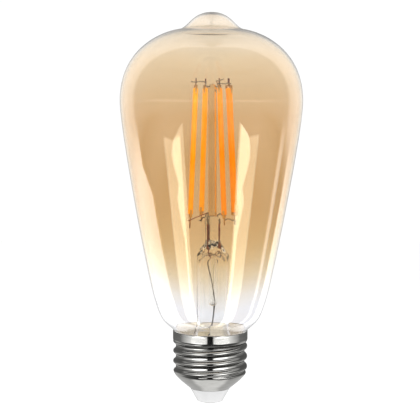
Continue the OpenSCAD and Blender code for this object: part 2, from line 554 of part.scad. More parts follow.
module neutral_wire() color([0.15, 0.15, 0.16]) wire([[7.6, board_y + 0.36, 10.6], [8, 3.4, 12], [8, 6,
    15.2],
  [8.1, 7.6, 16.9], neutral_r * [0.9 * cos(45), 0.9 * sin(45), 0] + [0, 0, neutral_z],
  neutral_r * [cos(45), sin(45), 0] + [0, 0, neutral_z]], 0.6, 5, 8);
neutral_z = start_z + pitch / 8;
neutral_r = crest_r - shell_wall - 0.12;

module filament_1_strip() filament_strip(1);
module filament_1_chips() filament_chips(1);
module filament_1_coating() filament_coating(1);
module filament_1_top_tab() filament_top_tab(1);
module filament_1_low_tab() filament_low_tab(1);
module filament_2_strip() filament_strip(2);
module filament_2_chips() filament_chips(2);
module filament_2_coating() filament_coating(2);
module filament_2_top_tab() filament_top_tab(2);
module filament_2_low_tab() filament_low_tab(2);
module filament_3_strip() filament_strip(3);
module filament_3_chips() filament_chips(3);
module filament_3_coating() filament_coating(3);
module filament_3_top_tab() filament_top_tab(3);
module filament_3_low_tab() filament_low_tab(3);
module filament_4_strip() filament_strip(4);
module filament_4_chips() filament_chips(4);
module filament_4_coating() filament_coating(4);
module filament_4_top_tab() filament_top_tab(4);
module filament_4_low_tab() filament_low_tab(4);

glass_envelope();
stem_flare_tube();
exhaust_tube();
support_rod();
left_inner_lead();
left_seal_wire();
left_outer_lead();
right_inner_lead();
right_seal_wire();
right_outer_lead();
left_top_wire();
right_top_wire();
top_link_wire();
low_wire_1();
low_wire_2();
filament_1_strip();
filament_1_chips();
filament_1_coating();
filament_1_top_tab();
filament_1_low_tab();
filament_2_strip();
filament_2_chips();
filament_2_coating();
filament_2_top_tab();
filament_2_low_tab();
filament_3_strip();
filament_3_chips();
filament_3_coating();
filament_3_top_tab();
filament_3_low_tab();
filament_4_strip();
filament_4_chips();
filament_4_coating();
filament_4_top_tab();
filament_4_low_tab();
screw_shell();
base_insulator();
centre_contact();
basing_cement();
driver_board();
wireless_board();
wireless_shield();
board_pins();
bridge_rectifier();
driver_chip();
coil_core();
coil_winding();
coil_leads();
smoothing_capacitor();
capacitor_leads();
film_capacitor();
chip_parts();
fuse_resistor();
resistor_lead();
resistor_sleeve();
live_wire();
neutral_wire();
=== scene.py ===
import math

import bmesh
import bpy
import numpy as np
from mathutils import Matrix


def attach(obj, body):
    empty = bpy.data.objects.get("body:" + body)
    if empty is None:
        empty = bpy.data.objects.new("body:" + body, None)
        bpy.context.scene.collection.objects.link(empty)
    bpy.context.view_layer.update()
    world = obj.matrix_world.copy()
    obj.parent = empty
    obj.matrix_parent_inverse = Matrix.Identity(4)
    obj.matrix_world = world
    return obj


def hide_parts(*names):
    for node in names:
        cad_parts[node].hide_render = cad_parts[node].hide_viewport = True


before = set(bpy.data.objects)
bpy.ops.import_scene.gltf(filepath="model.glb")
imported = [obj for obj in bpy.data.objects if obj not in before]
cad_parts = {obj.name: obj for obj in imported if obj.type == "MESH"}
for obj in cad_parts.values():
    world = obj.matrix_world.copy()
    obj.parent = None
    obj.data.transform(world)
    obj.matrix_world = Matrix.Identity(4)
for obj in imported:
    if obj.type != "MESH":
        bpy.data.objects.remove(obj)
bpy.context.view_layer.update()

# ---------------------------------------------------------------------------------------------
# Glass envelope: blown soda-lime glass with an even thin wall and a tinted film that fades out
# above the neck. Its throat is melted onto the stem's skirt, and the collar is cemented round it.
# Shapes are worked out in millimetres, and build() turns them into metres.
RIM_Z = 26.0
GLASS_R = 32.0
BELLY_Z = 106.7
BULB_H = 137.5
NECK_R = 11.7
MOUTH_R = 12.75
LIP_Z = 20.2
LIP_HOLE_R = 7.6
TURN = np.array([20.0, 38.2])
NUB = np.array([11.3, 131.6])
GLASS_WALL = 0.8
FILM_SPAN = 0.14
MM = 0.001


def curve(a, b, c, d, steps):
    """Cubic curve: the four points weighted by (1-t)^3, 3t(1-t)^2, 3t^2(1-t) and t^3, t from 0 to 1."""
    t = np.linspace(0, 1, steps + 1)[:, None]
    a, b, c, d = (np.asarray(p, float) for p in (a, b, c, d))
    return (1 - t) ** 3 * a + 3 * t * (1 - t) ** 2 * b + 3 * t * t * (1 - t) * c + t ** 3 * d


def chain(*lines):
    """One line from several: a point that repeats the one before it is dropped."""
    line = np.vstack([np.atleast_2d(np.asarray(part, float)) for part in lines])
    fresh = np.r_[True, np.abs(np.diff(line, axis=0)).max(axis=1) > 1e-7]
    return line[fresh]


def unit(v):
    """v divided by its length, along the last axis."""
    v = np.asarray(v, float)
    return v / np.linalg.norm(v, axis=-1, keepdims=True)


def inset(line, depth):
    """Each point of an (r, z) line moved by depth across its own direction, towards the axis."""
    along = unit(np.gradient(line, axis=0))
    return line - depth * np.stack([along[:, 1], -along[:, 0]], axis=1)


def lathe(profile, around):
    """Grid of points: profile point (r, z) turned to r cos(a), r sin(a), z at each angle a."""
    a = np.arange(around) / around * 2 * math.pi
    r, z = profile[:, 0, None], profile[:, 1, None]
    return np.stack([r * np.cos(a), r * np.sin(a), z + 0 * a], axis=-1)


def build(name, grids, replaces=(), ring=False, sharp=38):
    """One mesh from grids of points (rows, around, xyz), each row closed round on itself.
    Neighbouring rows are joined by quads, and with ring the last row joins the first. A row that
    has shrunk to a point is a pole with a fan of triangles. A grid whose volume, the sum of
    a.(b x c)/6 over its triangles, is negative is turned over, so that its faces look outwards."""
    points, faces, base = [], [], 0
    for grid in grids:
        rows, around = grid.shape[:2]
        index = np.arange(rows * around).reshape(rows, around)
        pole = np.ptp(grid, axis=1).max(axis=1) < 1e-9
        index[pole] = index[pole, :1]
        low = index if ring else index[:-1]
        high = np.roll(index, -1, axis=0) if ring else index[1:]
        quads = np.stack([low, np.roll(low, -1, 1), np.roll(high, -1, 1), high], -1).reshape(-1, 4)
        flat = grid.reshape(-1, 3)
        a, b, c, d = (flat[quads[:, k]] for k in range(4))
        volume = np.einsum("ij,ij->i", a, np.cross(b, c) + np.cross(c, d)).sum()
        if volume < 0:
            quads = quads[:, ::-1]
        points.append(flat)
        faces.append(quads + base)
        base += len(flat)
    points, quads = np.vstack(points), np.vstack(faces)
    same = np.stack([quads[:, k] == quads[:, (k + 1) % 4] for k in range(4)], 1)
    triangles = [quads[same[:, k] & (same.sum(1) == 1)][:, [j for j in range(4) if j != k]] for k in range(4)]
    triangles = np.vstack(triangles)
    quads = quads[same.sum(1) == 0]
    used, packed = np.unique(np.concatenate([quads.ravel(), triangles.ravel()]), return_inverse=True)
    fours, threes = np.split(packed.ravel(), [quads.size])
    mesh = bpy.data.meshes.new(name)
    mesh.from_pydata(points[used] * MM, [], fours.reshape(-1, 4).tolist() + threes.reshape(-1, 3).tolist())
    mesh.polygons.foreach_set("use_smooth", np.ones(len(mesh.polygons), bool))
    mesh.set_sharp_from_angle(angle=math.radians(sharp))
    piece = bpy.data.objects.new(name, mesh)
    bpy.context.scene.collection.objects.link(piece)
    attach(piece, "root")
    if replaces:
        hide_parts(*replaces)
    return piece


def node(tree, kind, inputs=(), **settings):
    """Adds a shader node, sets its fields, and joins (a socket) or sets (a value) each input."""
    made = tree.nodes.new("ShaderNode" + kind)
    for field, value in settings.items():
        setattr(made, field, value)
    for key, value in dict(inputs).items():
        if isinstance(value, bpy.types.NodeSocket):
            tree.links.new(value, made.inputs[key])
        else:
            made.inputs[key].default_value = value
    return made


def math_of(tree, a, b=0.0, operation="ADD"):
    """One Math node on two values."""
    return node(tree, "Math", {0: a, 1: b}, operation=operation).outputs["Value"]


def ramp(tree, value, stops, smooth="LINEAR"):
    """Colour ramp through the stops (place, (r, g, b)), read at value."""
    made = node(tree, "ValToRGB", {"Fac": value})
    made.color_ramp.interpolation = smooth
    while len(made.color_ramp.elements) < len(stops):
        made.color_ramp.elements.new(0.5)
    for stop, (place, colour) in zip(made.color_ramp.elements, sorted(stops)):
        stop.position = place
        stop.color = (*colour, 1)
    return made.outputs["Color"]


def new_finish(name, **values):
    """A material with a Principled shader; returns it, its node tree and the shader."""
    material = bpy.data.materials.new(name)
    material.use_nodes = True
    shader = material.node_tree.nodes["Principled BSDF"]
    for key, value in values.items():
        shader.inputs[key.replace("_", " ")].default_value = value
    return material, material.node_tree, shader


def object_place(tree, scale=(1, 1, 1)):
    """Place on the piece in metres, multiplied by scale."""
    place = node(tree, "TexCoord").outputs["Object"]
    return node(tree, "Mapping", {"Vector": place, "Scale": scale}).outputs["Vector"]


def coordinate(tree, axis):
    """X, Y or Z of the place on the piece, in metres."""
    place = node(tree, "TexCoord").outputs["Object"]
    return node(tree, "SeparateXYZ", {"Vector": place}).outputs[axis]


def raise_bumps(tree, shader, height, strength, distance):
    """Tilts the shader's normal as if height, from 0 to 1, stood up by distance metres."""
    bumped = node(tree, "Bump", {"Height": height, "Strength": strength, "Distance": distance})
    tree.links.new(bumped.outputs["Normal"], shader.inputs["Normal"])


def let_light_through(tree, shader, tint):
    """Shadow rays go straight through the glass and take its tint. All others meet the shader."""
    clear_way = node(tree, "BsdfTransparent", {"Color": tint})
    mixed = node(tree, "MixShader", {0: node(tree, "LightPath").outputs["Is Shadow Ray"],
                                     1: shader.outputs["BSDF"], 2: clear_way.outputs["BSDF"]})
    tree.links.new(mixed.outputs["Shader"], tree.nodes["Material Output"].inputs["Surface"])


side_dir, dome_dir = unit([0.29, 1.0]), unit([1.0, -0.15])
outline = chain(
    [[NECK_R, LIP_Z]],
    curve([NECK_R, LIP_Z], [NECK_R, 21.0], [NECK_R, 21.8], [NECK_R, RIM_Z - 3.4], 4),
    curve([NECK_R, RIM_Z - 3.4], [NECK_R, RIM_Z - 2.2], [MOUTH_R - 1, RIM_Z - 1.1],
          [MOUTH_R, RIM_Z - 0.1], 10),
    curve([MOUTH_R, RIM_Z - 0.1], [MOUTH_R + 4, RIM_Z + 3.9], TURN - 10 * side_dir, TURN, 26),
    curve(TURN, TURN + 9.7 * side_dir, [GLASS_R, BELLY_Z - 9.8], [GLASS_R, BELLY_Z], 44),
    curve([GLASS_R, BELLY_Z], [GLASS_R, BELLY_Z + 17.2], NUB + 7.5 * dome_dir, NUB, 46),
    curve(NUB, NUB - 3.26 * dome_dir, [6.87, BULB_H], [0, BULB_H], 26))
inside = inset(outline, GLASS_WALL)[::-1]
inside = inside[(inside[:, 0] > 0) & (inside[:, 1] > LIP_Z + 1)]
inside = chain([[0, BULB_H - GLASS_WALL]], inside, [[NECK_R - GLASS_WALL, LIP_Z + 1]],
               [[LIP_HOLE_R, LIP_Z + 1]], [[LIP_HOLE_R, LIP_Z]])
shell_of_glass = lathe(chain(outline, inside), 176)
angle = np.arctan2(shell_of_glass[..., 1], shell_of_glass[..., 0])
height = shell_of_glass[..., 2]
# blown glass is never quite even: slow waves, a few hundredths of a millimetre deep, only inwards
waves = (np.sin(3 * angle + height * 0.09) + np.sin(5 * angle - height * 0.06 + 1.7)
         + np.sin(2 * angle + height * 0.21 + 0.6)) / 6 - 0.5
shell_of_glass[..., :2] *= 1 + 0.0022 * (waves * np.clip((height - 30) / 20, 0, 1))[..., None]
envelope = build("glass_envelope_blown", [shell_of_glass], ["glass_envelope"], ring=True)

amber_glass, tree, shader = new_finish(
    "amber_film_glass", Metallic=0.0, Roughness=0.0, IOR=1.5, Transmission_Weight=1.0)
up, sideways = coordinate(tree, "Z"), coordinate(tree, "X")
cloud = node(tree, "TexNoise", {"Vector": object_place(tree, (1, 1, 0.4)), "Scale": 60.0, "Detail": 2.0})
drift = node(tree, "MapRange", {"Value": cloud.outputs["Fac"], "To Min": -0.002, "To Max": 0.002})
level = math_of(tree, up, drift.outputs["Result"])
# the sprayed film reaches a little lower in front and behind than it does at the two sides
low_down = node(tree, "MapRange", {"Value": up, "From Min": 0.08, "From Max": 0.05, "To Max": -9.0})
sag = math_of(tree, math_of(tree, sideways, sideways, "MULTIPLY"), low_down.outputs["Result"], "MULTIPLY")
level = node(tree, "MapRange", {"Value": math_of(tree, level, sag), "From Max": FILM_SPAN}).outputs["Result"]
film = ramp(tree, level, [
    (0.25, (0.97, 0.97, 0.992)), (0.275, (0.955, 0.92, 0.87)), (0.30, (0.92, 0.84, 0.72)),
    (0.33, (0.885, 0.77, 0.60)), (0.37, (0.85, 0.70, 0.49)), (0.42, (0.82, 0.65, 0.43)),
    (0.50, (0.80, 0.62, 0.405)), (0.72, (0.79, 0.615, 0.405)), (0.79, (0.815, 0.675, 0.49)),
    (0.866, (0.87, 0.755, 0.59)), (0.903, (0.885, 0.80, 0.67)), (0.98, (0.93, 0.87, 0.79))])
tree.links.new(film, shader.inputs["Base Color"])
draw = node(tree, "TexNoise", {"Vector": object_place(tree, (1, 1, 0.12)), "Scale": 90.0, "Detail": 1.0})
raise_bumps(tree, shader, draw.outputs["Fac"], 0.05, MM)
let_light_through(tree, shader, film)
envelope.data.materials.append(amber_glass)

# ---------------------------------------------------------------------------------------------
# Stem: a flared lead-glass tube whose skirt is melted to the throat. Its upper end was pinched
# flat while hot, closing it round the two lead-in wires and the foot of the rod.
FLARE_R, FLARE_WALL = 5.65, 0.9
SKIRT_R, SKIRT_Z, SKIRT_LOW = 9.9, 30.0, 21.28
PINCH_Z, PINCH_T, HALF_PINCH, CEILING_Z = 57.0, 3.6, 1.02, 53.4
LEAD_TURN = math.radians(40)
STEM_SHIFT, STEM_LEAN = 0.9, math.radians(0.37)


def on_stem(points):
    """Points leaned about the rim by the stem's small angle and moved aside with it."""
    x, y, z = points[..., 0], points[..., 1], points[..., 2] - RIM_Z
    c, s = math.cos(STEM_LEAN), math.sin(STEM_LEAN)
    return np.stack([x * c - z * s + STEM_SHIFT, y, x * s + z * c + RIM_Z], axis=-1)


def blend(tree, share, a, b):
    """Colour a where share is 0, and colour b where it is 1."""
    return node(tree, "Mix", {0: share, 6: a, 7: b}, data_type="RGBA").outputs[2]


outer = chain(
    curve([SKIRT_R, SKIRT_LOW], [SKIRT_R - 1.5, SKIRT_LOW + 1.2], [FLARE_R + 0.1, SKIRT_Z - 5],
          [FLARE_R, SKIRT_Z], 26),
    curve([FLARE_R, SKIRT_Z], [FLARE_R, SKIRT_Z + 7], [FLARE_R, SKIRT_Z + 14], [FLARE_R, SKIRT_Z + 20], 10),
    curve([FLARE_R, SKIRT_Z + 20], [FLARE_R, SKIRT_Z + 25], [PINCH_T / 2 + 1.2, PINCH_Z - 1.6],
          [PINCH_T / 2 + 0.6, PINCH_Z + 1], 26))
inner = chain(
    curve([SKIRT_R - 1.3, SKIRT_LOW], [SKIRT_R - 2.8, SKIRT_LOW + 1.2],
          [FLARE_R + 0.1 - FLARE_WALL, SKIRT_Z - 5], [FLARE_R - FLARE_WALL, SKIRT_Z], 26),
    curve([FLARE_R - FLARE_WALL, SKIRT_Z], [FLARE_R - FLARE_WALL, SKIRT_Z + 7],
          [FLARE_R - FLARE_WALL, SKIRT_Z + 13], [FLARE_R - FLARE_WALL, SKIRT_Z + 18.5], 10),
    curve([FLARE_R - FLARE_WALL, SKIRT_Z + 18.5], [FLARE_R - FLARE_WALL, SKIRT_Z + 21.5],
          [FLARE_R - FLARE_WALL - 0.9, CEILING_Z - 0.2], [1.8, CEILING_Z], 14),
    [[0, CEILING_Z]])
# above the shoulder stands the pinched slab, with a shallow mark of the jaws round it
profile = chain(inner[::-1], outer, [[2.45, 58.4], [2.5, 61.0], [2.62, 61.8], [2.4, 62.7], [2.66, 63.6],
                                     [2.66, 64.9], [2.1, 66.6], [1.5, 66.7], [0, 66.7]])
tube = lathe(profile, 96)
turned = np.arctan2(tube[..., 1], tube[..., 0]) - LEAD_TURN
up_stem = tube[..., 2]
radius = np.hypot(tube[..., 0], tube[..., 1])
flat = np.clip((up_stem - 55.2) / 2.5, 0, 1) * np.clip((66.0 - up_stem) / 1.2, 0, 1)
# the jaws leave a slab: two half rounds drawn apart along it, thinner across
slab = np.clip(2.6 * np.cos(turned), -1, 1) * HALF_PINCH * flat
squeeze = 1 - 0.24 * flat * (radius > 1.7)
# and the hot shoulder folds into creases under them
creases = (0.16 * np.sin(7 * turned + 0.8 * up_stem) + 0.10 * np.sin(11 * turned - 1.3 * up_stem)) \
    * np.clip((up_stem - 50.5) / 2, 0, 1) * np.clip((59.5 - up_stem) / 2, 0, 1) * np.clip(radius / 4, 0, 1)
u = radius * (1 - creases / 3) * squeeze * np.cos(turned) + slab
v = radius * (1 - creases / 3) * squeeze * np.sin(turned)
c, s = math.cos(LEAD_TURN), math.sin(LEAD_TURN)
tube = np.stack([u * c - v * s, u * s + v * c, up_stem], axis=-1)
stem = build("stem_pinched", [on_stem(tube)], ["stem_flare_tube"], ring=True)

clear_glass, tree, shader = new_finish(
    "clear_lead_glass", Metallic=0.0, Roughness=0.0, IOR=1.54, Transmission_Weight=1.0)
striae = node(tree, "TexNoise", {"Vector": object_place(tree, (1, 1, 0.15)), "Scale": 260.0, "Detail": 2.0})
tone = node(tree, "MapRange", {"Value": striae.outputs["Fac"], "From Min": 0.35, "From Max": 0.65})
tint = blend(tree, tone.outputs["Result"], (0.955, 0.965, 0.96, 1), (0.985, 0.985, 0.985, 1))
tree.links.new(tint, shader.inputs["Base Color"])
raise_bumps(tree, shader, striae.outputs["Fac"], 0.12, MM)
let_light_through(tree, shader, tint)
stem.data.materials.append(clear_glass)

# ---------------------------------------------------------------------------------------------
# Exhaust tube: a thin glass pipe inside the stem, through which the bulb was pumped and filled.
# Its lower end was melted shut into a rounded tip; its upper end is fused to the stem's ceiling.
EXHAUST_R, EXHAUST_BORE, EXHAUST_LOW, SEAT_Z = 1.55, 0.75, 34.6, CEILING_Z - 0.01
tip = np.radians(np.linspace(-90, 0, 14))
profile = chain(
    [[EXHAUST_BORE, SEAT_Z], [EXHAUST_BORE, 42.0], [EXHAUST_BORE, EXHAUST_LOW + 1.6],
     [0.55, EXHAUST_LOW + 1.0], [0.3, EXHAUST_LOW + 0.75], [0, EXHAUST_LOW + 0.68]],
    np.stack([EXHAUST_R * np.cos(tip), EXHAUST_LOW + 1.5 + 1.5 * np.sin(tip)], axis=1),
    [[EXHAUST_R, 42.0], [EXHAUST_R, SEAT_Z]])
exhaust = build("exhaust_pipe", [on_stem(lathe(profile, 40))], ["exhaust_tube"], ring=True)
exhaust.data.materials.append(clear_glass)

# ---------------------------------------------------------------------------------------------
# Support rod: solid drawn glass, faintly streaked along its length. Its foot is fused into the
# pinch, and its top end is melted to a bead that holds the wires of the upper ends.
ROD_R, BEAD_R, ROD_FOOT, ROD_TOP = 1.5, 1.7, 66.35, 111.0
bead = np.radians(np.linspace(-28, 90, 20))
profile = chain([[0, ROD_FOOT], [ROD_R - 0.05, ROD_FOOT], [ROD_R, ROD_FOOT + 0.55]],
                curve([ROD_R, ROD_FOOT + 0.55], [ROD_R, 80], [ROD_R, 95], [ROD_R, ROD_TOP - 1.6], 12),
                np.stack([BEAD_R * np.cos(bead), ROD_TOP + BEAD_R * np.sin(bead)], axis=1))
rod = build("rod_drawn", [on_stem(lathe(profile, 48))], ["support_rod"])
rod_finish_painted_reflection, tree, shader = new_finish(
    "rod_glass_painted_reflection", Metallic=0.0, Roughness=0.0, IOR=1.5, Transmission_Weight=1.0)
streak = node(tree, "TexNoise", {"Vector": object_place(tree, (1, 1, 0.05)), "Scale": 700.0, "Detail": 1.0})
# the amber tint is a painted reflection of the orange filaments round the rod, whose glass is clear; the
# streaks make that tint stronger or weaker
tint = ramp(tree, streak.outputs["Fac"], [(0.35, (0.80, 0.66, 0.42)), (0.65, (0.95, 0.88, 0.72))])
tree.links.new(tint, shader.inputs["Base Color"])
let_light_through(tree, shader, tint)
rod.data.materials.append(rod_finish_painted_reflection)

# ---------------------------------------------------------------------------------------------
# Filaments: a row of chips on a carrier strip, buried in a bead of yellow phosphor silicone that
# is poured, so it is never quite even. A tab is crimped on each end and welded to its wire.
FIL_LOW_R, FIL_TOP_R, FIL_TURN, FIL_TWIST = 8.73, 6.3, 27.0, -4.0
FIL_LOW_Z, FIL_L, COAT_W, COAT_T, COAT_END = 67.2, 44.2, 2.6, 1.8, 0.55
FIL_SLOT, FACE_TURN = (2, 1, 3, 0), (-27, 39, 43, 0)


def ring_point(radius, turn, z):
    """A point at this radius, angle in degrees and height."""
    return np.array([radius * math.cos(math.radians(turn)), radius * math.sin(math.radians(turn)), z])


def fine_grain():
    """Shader group: two noises, one coarse and one fine, mix two colours, move the roughness and
    give a height. Colour = A where the noise is low and B where it is high."""
    group = bpy.data.node_groups.new("fine_grain", "ShaderNodeTree")
    for label, kind, value in (("Colour A", "NodeSocketColor", (0.5, 0.5, 0.5, 1)),
                               ("Colour B", "NodeSocketColor", (0.6, 0.6, 0.6, 1)),
                               ("Place", "NodeSocketVector", (0, 0, 0)), ("Scale", "NodeSocketFloat", 500.0),
                               ("Roughness", "NodeSocketFloat", 0.5), ("Spread", "NodeSocketFloat", 0.1)):
        socket = group.interface.new_socket(label, in_out="INPUT", socket_type=kind)
        socket.default_value = value
    for label, kind in (("Colour", "NodeSocketColor"), ("Roughness", "NodeSocketFloat"),
                        ("Height", "NodeSocketFloat")):
        group.interface.new_socket(label, in_out="OUTPUT", socket_type=kind)
    takes, gives = group.nodes.new("NodeGroupInput"), group.nodes.new("NodeGroupOutput")
    coarse = node(group, "TexNoise", {"Vector": takes.outputs["Place"], "Scale": takes.outputs["Scale"],
                                      "Detail": 4.0, "Roughness": 0.6})
    finer = math_of(group, takes.outputs["Scale"], 6.0, "MULTIPLY")
    fine = node(group, "TexNoise", {"Vector": takes.outputs["Place"], "Scale": finer, "Detail": 2.0})
    share = node(group, "MapRange", {"Value": coarse.outputs["Fac"], "From Min": 0.3, "From Max": 0.7})
    colour = blend(group, share.outputs["Result"], takes.outputs["Colour A"], takes.outputs["Colour B"])
    group.links.new(colour, gives.inputs["Colour"])
    lifted = math_of(group, math_of(group, fine.outputs["Fac"], 0.5, "SUBTRACT"), takes.outputs["Spread"],
                     "MULTIPLY")
    group.links.new(math_of(group, lifted, takes.outputs["Roughness"]), gives.inputs["Roughness"])
    both = math_of(group, math_of(group, coarse.outputs["Fac"], 0.6, "MULTIPLY"), fine.outputs["Fac"])
    group.links.new(both, gives.inputs["Height"])
    return group


GRAIN = fine_grain()


def grained(name, dark, light, scale=500.0, roughness=0.5, spread=0.1, bump=0.1, stretch=(1, 1, 1), **values):
    """A finish whose colour, roughness and fine bumps come from the shared grain group."""
    material, tree, shader = new_finish(name, **values)
    grain = node(tree, "Group", node_tree=GRAIN)
    for key, value in (("Colour A", (*dark, 1)), ("Colour B", (*light, 1)), ("Scale", scale),
                       ("Roughness", roughness), ("Spread", spread)):
        grain.inputs[key].default_value = value
    tree.links.new(object_place(tree, stretch), grain.inputs["Place"])
    tree.links.new(grain.outputs["Colour"], shader.inputs["Base Color"])
    tree.links.new(grain.outputs["Roughness"], shader.inputs["Roughness"])
    raise_bumps(tree, shader, grain.outputs["Height"], bump, 0.2 * MM)
    return material, tree, shader, grain


def filament_frame(i):
    """Where filament i stands: its foot, and its three directions (across, through, along)."""
    low = ring_point(FIL_LOW_R, FIL_TURN + 90 * FIL_SLOT[i], FIL_LOW_Z)
    top = ring_point(FIL_TOP_R, FIL_TURN + FIL_TWIST + 90 * FIL_SLOT[i], FIL_LOW_Z + FIL_L)
    run = unit(top - low)
    lean, swing = math.acos(run[2]), math.atan2(run[1], run[0])
    across = np.array([math.cos(lean) * math.cos(swing), math.cos(lean) * math.sin(swing), -math.sin(lean)])
    through = np.array([-math.sin(swing), math.cos(swing), 0])
    t = math.radians(FACE_TURN[i] + 90)
    return low, math.cos(t) * across + math.sin(t) * through, \
        math.cos(t) * through - math.sin(t) * across, run, np.linalg.norm(top - low)


dice = np.random.default_rng(7)
phosphors_painted_glow = []
for name, dark, light in (("phosphor_yellow_painted_glow", (0.92, 0.44, 0.006), (0.98, 0.52, 0.01)),
                          ("phosphor_orange_painted_glow", (0.88, 0.335, 0.002), (0.95, 0.40, 0.004))):
    phosphor, tree, shader, grain = grained(
        name, dark, light, scale=420.0, roughness=0.42, spread=0.16, bump=0.16, Specular_IOR_Level=0.3)
    # the phosphor's colour also shines out as a faint painted glow: the filaments are switched off, and only
    # the studio lights them
    tree.links.new(grain.outputs["Colour"], shader.inputs["Emission Color"])
    shader.inputs["Emission Strength"].default_value = 0.42
    phosphors_painted_glow.append(phosphor)
for i in range(4):
    foot, across, through, run, length = filament_frame(i)
    t = np.linspace(0, 1, 120)[:, None]
    a = np.arange(28) / 28 * 2 * math.pi
    end = np.minimum(t, 1 - t) * length
    cap = np.sqrt(np.clip(1 - (1 - np.clip(end / COAT_END, 0, 1)) ** 2, 0, 1))
    phase = dice.uniform(0, 2 * math.pi, 4)
    swell = 1 - 0.035 * (0.5 + 0.25 * np.sin(t * 41 + phase[0]) + 0.25 * np.sin(t * 23 + phase[1]))
    lumps = 0.012 * np.sin(3 * a + t * 60 + phase[2]) * cap
    half_w, half_t = (COAT_W - COAT_T) / 2, COAT_T / 2
    reach = half_t * cap * (swell + lumps - 0.012)
    u = reach * np.cos(a) + np.clip(3 * np.cos(a), -1, 1) * half_w * np.clip(cap * 1.2, 0, 1)
    v = reach * np.sin(a)
    grid = foot + u[..., None] * across + v[..., None] * through + (t * length)[..., None] * run
    coat = build(f"filament_{i + 1}_bead", [on_stem(grid)], [f"filament_{i + 1}_coating"])
    # filaments 1 and 2 take the yellower finish, and 3 and 4 the more orange one
    coat.data.materials.append(phosphors_painted_glow[i // 2])

# ---------------------------------------------------------------------------------------------
# Screw shell: one drawn cup of nickel-plated sheet. A thread is rolled into it that fades out
# above and below, the collar above it stays plain, and its lower edge turns in to a cone.
COLLAR_R, CREST_R, THREAD_DEPTH, PITCH, SHEET = 13.2, 13.1, 0.95, 3.629, 0.3
CONE_END, MOUTH_OF_CONE, MOUTH_Z = np.array([11.37, 9.15]), 7.0, 5.25
CREST_Z, TURN_IN_Z, TURN_IN_RUN, TURN_IN_DEPTH = 16.75, 12.3, 3.3, 1.9
LOW_FADE_Z, LOW_FADE_RUN, HIGH_FADE_Z, HIGH_FADE_RUN = 10.6, 1.6, 21.0, 1.7


def smooth_step(x):
    """0 below 0, 1 above 1, and 3x^2 - 2x^3 between them."""
    x = np.clip(x, 0, 1)
    return x * x * (3 - 2 * x)


def thread_radius(z, a):
    """Crest radius less the thread: depth times u(1 + 3u)/4, where u = 1 - c^2 and c is half of
    1 + cos of the height in pitches minus the turn. It fades out at both ends, and below it the
    crest curves in to the cone."""
    crest = CREST_R - TURN_IN_DEPTH * (np.clip(TURN_IN_Z - z, 0, TURN_IN_RUN) / TURN_IN_RUN) ** 2
    fade = smooth_step((z - LOW_FADE_Z) / LOW_FADE_RUN) * (1 - smooth_step((z - HIGH_FADE_Z) / HIGH_FADE_RUN))
    wave = 1 - (0.5 + 0.5 * np.cos(2 * math.pi * (z - CREST_Z) / PITCH - a)) ** 2
    wave = wave * (1 + 3 * wave) / 4
    return crest - THREAD_DEPTH * fade * wave


def shell_skin(cone_steps, thread_steps, around, inward):
    """Rows of the cup from its lower edge up: the cone's curve, the thread, a small step, the
    collar. inward moves them all towards the axis by the thickness of the sheet."""
    a = np.arange(around) / around * 2 * math.pi
    cone = curve([MOUTH_OF_CONE, MOUTH_Z], [8.3, MOUTH_Z + 1.2], [10.0, 7.6], CONE_END, cone_steps)[:-1]
    cone = inset(cone, inward)
    z = np.linspace(9.2, 22.5, thread_steps)[:, None]
    thread = np.stack([thread_radius(z, a) - inward, z + 0 * a], axis=-1)
    top = np.array([[CREST_R, 22.62], [CREST_R + 0.03, 22.72], [COLLAR_R, 22.84], [COLLAR_R, 23.2],
                    [COLLAR_R, 25.2], [COLLAR_R, 25.8], [COLLAR_R - 0.03, 25.93],
                    [COLLAR_R - 0.09, 25.99]]) - [inward, 0]
    rings = np.vstack([np.repeat(cone[:, None], around, 1), thread, np.repeat(top[:, None], around, 1)])
    return np.stack([rings[..., 0] * np.cos(a), rings[..., 0] * np.sin(a), rings[..., 1]], axis=-1)


outside = shell_skin(26, 170, 150, 0.0)
behind = shell_skin(14, 90, 150, SHEET)[::-1]
cup = build("shell_rolled", [np.vstack([outside, behind])], ["screw_shell"], ring=True,
            sharp=50)
cup.data.materials.append(grained(
    "polished_nickel", (0.55, 0.545, 0.52), (0.64, 0.635, 0.61), scale=180.0, roughness=0.08, spread=0.06,
    bump=0.002, stretch=(1, 1, 5), Metallic=1.0)[0])

# ---------------------------------------------------------------------------------------------
# Base insulator: milky glass melted into the mouth of the cone, with a smooth fire-polished curve.
# Its shoulder covers the cut edge of the sheet, and its hole holds the contact.
profile = chain(
    [[2.6, 0.56], [3.8, 0.56]], curve([3.8, 0.56], [4.25, 0.56], [4.45, 0.66], [4.6, 0.84], 8),
    curve([4.6, 0.84], [5.2, 2.1], [6.0, 3.4], [6.93, 5.07], 22),
    [[6.9, 5.19], [6.44, 5.21], [6.44, 6.4], [4.6, 6.4], [4.6, 5.2], [1.3, 5.2], [1.3, 0.74], [2.6, 0.73]])
insulator = build("insulator_fused", [lathe(profile, 110)], ["base_insulator"], ring=True)
insulator.data.materials.append(grained(
    "milk_glass", (0.66, 0.66, 0.66), (0.73, 0.73, 0.73), scale=160.0, roughness=0.16, spread=0.12, bump=0.05,
    Coat_Weight=0.6, Coat_Roughness=0.06)[0])

# ---------------------------------------------------------------------------------------------
# Centre contact: a plated pin pressed into the insulator, its face dished where the solder of the
# live wire has set in it.
profile = chain([[0, 0.16], [0.35, 0.13], [0.75, 0.03], [1.0, 0.0], [2.1, 0.0]],
                curve([2.1, 0.0], [2.4, 0.02], [2.58, 0.15], [2.6, 0.42], 8),
                [[2.6, 0.7], [1.2, 0.7], [1.2, 5.6], [0.9, 5.9], [0.45, 5.9], [0.45, 4.0], [0, 4.0]])
button = build("contact_pressed", [lathe(profile, 64)], ["centre_contact"])
button.data.materials.append(grained(
    "plated_contact", (0.60, 0.59, 0.55), (0.72, 0.71, 0.67), scale=900.0, roughness=0.28, spread=0.2,
    bump=0.12, Metallic=1.0)[0])

